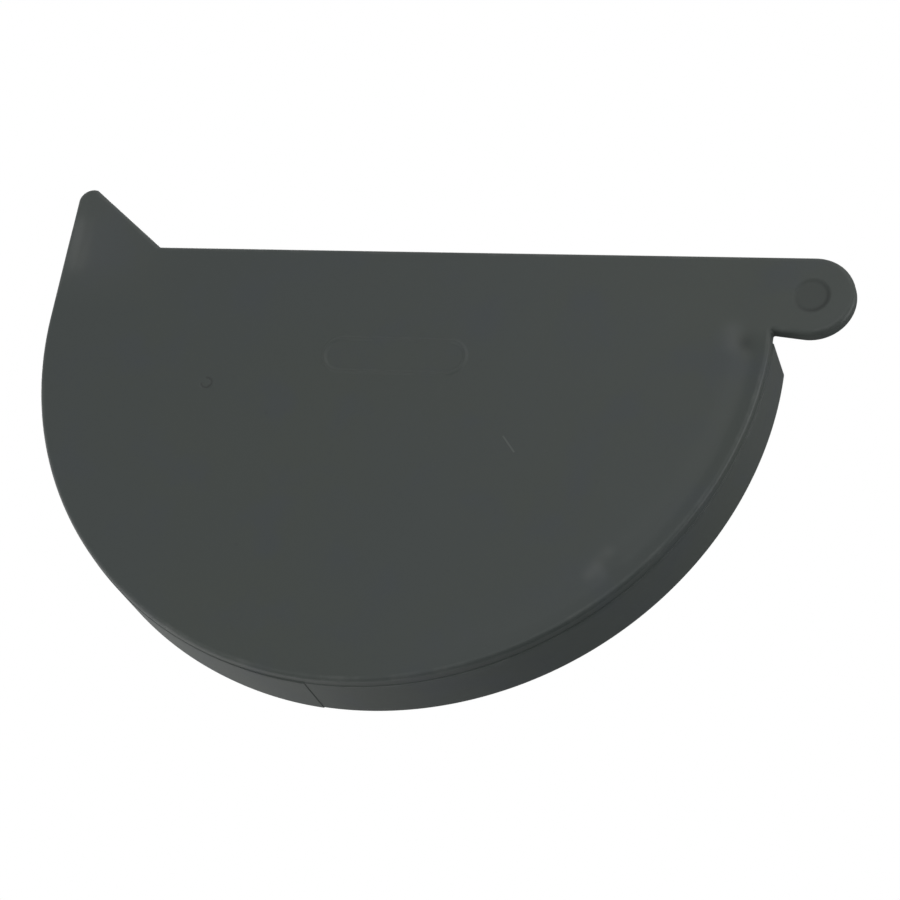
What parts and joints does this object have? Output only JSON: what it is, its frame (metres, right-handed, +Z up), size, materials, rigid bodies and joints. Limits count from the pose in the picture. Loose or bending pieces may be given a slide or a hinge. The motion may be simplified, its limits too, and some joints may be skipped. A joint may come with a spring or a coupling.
{
  "type": "gutter end cap",
  "caption": "Moulded end cap for a half-round gutter: flat plate with a pointed rear ear and a round front bead disc, and a rim and rib behind it that form a glue groove.",
  "frame": {"origin": "on the axis of the half round, at the plate's inner face, where the gutter's end stops", "axes": "+Y along the gutter's axis, out of the socket; +X towards the front bead, -X the rear ear; +Z up"},
  "size_m": [0.1462, 0.0141, 0.0933],
  "materials": {
    "cap_plastic": "satin anthracite grey rigid PVC, as moulded"
  },
  "bodies": {
    "root": {"end_cap": "cap_plastic"}
  },
  "joints": []
}
